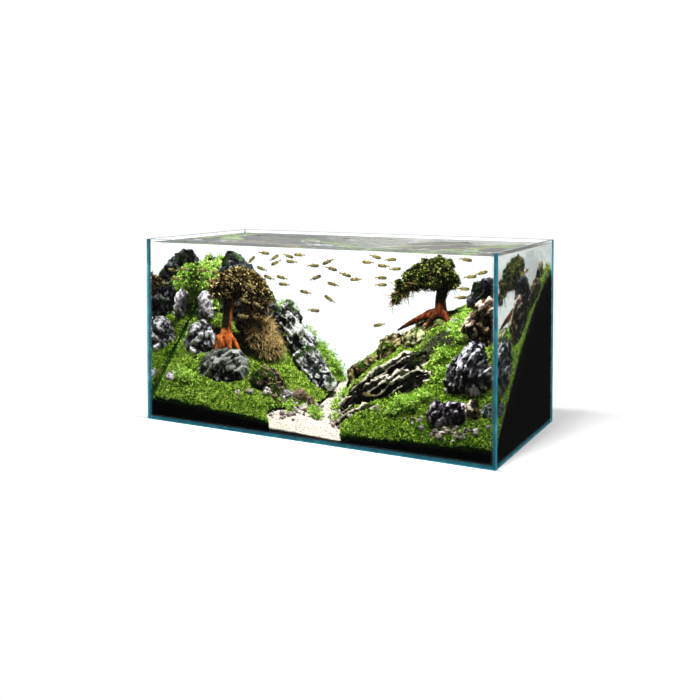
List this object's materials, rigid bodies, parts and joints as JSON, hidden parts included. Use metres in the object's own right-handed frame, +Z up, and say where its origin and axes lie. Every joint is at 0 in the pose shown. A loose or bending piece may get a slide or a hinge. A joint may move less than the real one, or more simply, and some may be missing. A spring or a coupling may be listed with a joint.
{
  "type": "planted aquarium",
  "caption": "Rimless glass aquarium planted as a valley: two mossy driftwood trees on rocky banks, a pale sand path and small shoaling fish.",
  "frame": {"origin": "middle of the tank's footprint, on the surface that it stands on", "axes": "+X along the tank's length to the right, +Y from the front pane to the rear pane, +Z up"},
  "size_m": [0.9, 0.45, 0.45],
  "materials": {
    "clear_glass": "polished",
    "water": "polished",
    "silicone": "satin",
    "soil": "matte",
    "sand": "matte",
    "green_plants": "matte",
    "moss": "matte",
    "left_driftwood": "matte",
    "right_driftwood": "matte",
    "grey_stone": "matte",
    "brown_stone": "matte",
    "fish": "satin"
  },
  "bodies": {
    "tank": {"bark_stone": "brown_stone", "bottom_pane": "clear_glass", "brown_side_stone": "brown_stone", "brown_stone": "brown_stone", "cracked_stone": "grey_stone", "dark_stone": "grey_stone", "dark_top_stone": "grey_stone", "front_floor_seam": "silicone", "front_left_seam": "silicone", "front_pane": "clear_glass", "front_right_seam": "silicone", "front_right_stones": "grey_stone", "front_slab": "grey_stone", "front_tufts": "green_plants", "grey_stone": "grey_stone", "holey_stone": "grey_stone", "left_carpet": "green_plants", "left_crown": "moss", "left_floor_seam": "silicone", "left_pane": "clear_glass", "left_pebbles": "grey_stone", "left_soil": "soil", "left_trunk": "left_driftwood", "long_slab": "grey_stone", "low_slab": "grey_stone", "mossy_stone": "brown_stone", "pale_stone": "grey_stone", "perch_stone": "brown_stone", "pyramid_stone": "grey_stone", "rear_floor_seam": "silicone", "rear_left_seam": "silicone", "rear_pane": "clear_glass", "rear_right_seam": "silicone", "ridge_stones": "grey_stone", "ridge_tufts": "green_plants", "right_carpet": "green_plants", "right_crown": "moss", "right_floor_seam": "silicone", "right_pane": "clear_glass", "right_pebbles": "grey_stone", "right_soil": "soil", "right_trunk": "right_driftwood", "right_tufts": "green_plants", "root_mound": "brown_stone", "sand_path": "sand", "small_left_stones": "grey_stone", "stem_plants": "green_plants", "tall_peak_stone": "grey_stone", "weeping_moss": "moss", "yellow_stone": "brown_stone"},
    "fish_shoal_1": {"fish_shoal_1": "fish"},
    "fish_shoal_2": {"fish_shoal_2": "fish"},
    "fish_shoal_3": {"fish_shoal_3": "fish"},
    "fish_shoal_4": {"fish_shoal_4": "fish"},
    "fish_shoal_5": {"fish_shoal_5": "fish"},
    "fish_shoal_6": {"fish_shoal_6": "fish"},
    "fish_shoal_7": {"fish_shoal_7": "fish"},
    "fish_shoal_8": {"fish_shoal_8": "fish"},
    "fish_shoal_9": {"fish_shoal_9": "fish"}
  },
  "joints": [
    {"name": "shoal_1_swim", "type": "slide", "parent": "tank", "child": "fish_shoal_1", "axis": [-1, 0, 0], "range_m": [-0.025, 0.025]},
    {"name": "shoal_2_swim", "type": "slide", "parent": "tank", "child": "fish_shoal_2", "axis": [1, 0, 0], "range_m": [-0.025, 0.025]},
    {"name": "shoal_3_swim", "type": "slide", "parent": "tank", "child": "fish_shoal_3", "axis": [-1, 0, 0], "range_m": [-0.025, 0.025]},
    {"name": "shoal_4_swim", "type": "slide", "parent": "tank", "child": "fish_shoal_4", "axis": [1, 0, 0], "range_m": [-0.025, 0.025]},
    {"name": "shoal_5_swim", "type": "slide", "parent": "tank", "child": "fish_shoal_5", "axis": [-1, 0, 0], "range_m": [-0.025, 0.025]},
    {"name": "shoal_6_swim", "type": "slide", "parent": "tank", "child": "fish_shoal_6", "axis": [1, 0, 0], "range_m": [-0.025, 0.025]},
    {"name": "shoal_7_swim", "type": "slide", "parent": "tank", "child": "fish_shoal_7", "axis": [-1, 0, 0], "range_m": [-0.025, 0.025]},
    {"name": "shoal_8_swim", "type": "slide", "parent": "tank", "child": "fish_shoal_8", "axis": [1, 0, 0], "range_m": [-0.025, 0.025]},
    {"name": "shoal_9_swim", "type": "slide", "parent": "tank", "child": "fish_shoal_9", "axis": [1, 0, 0], "range_m": [-0.005, 0.025]}
  ]
}
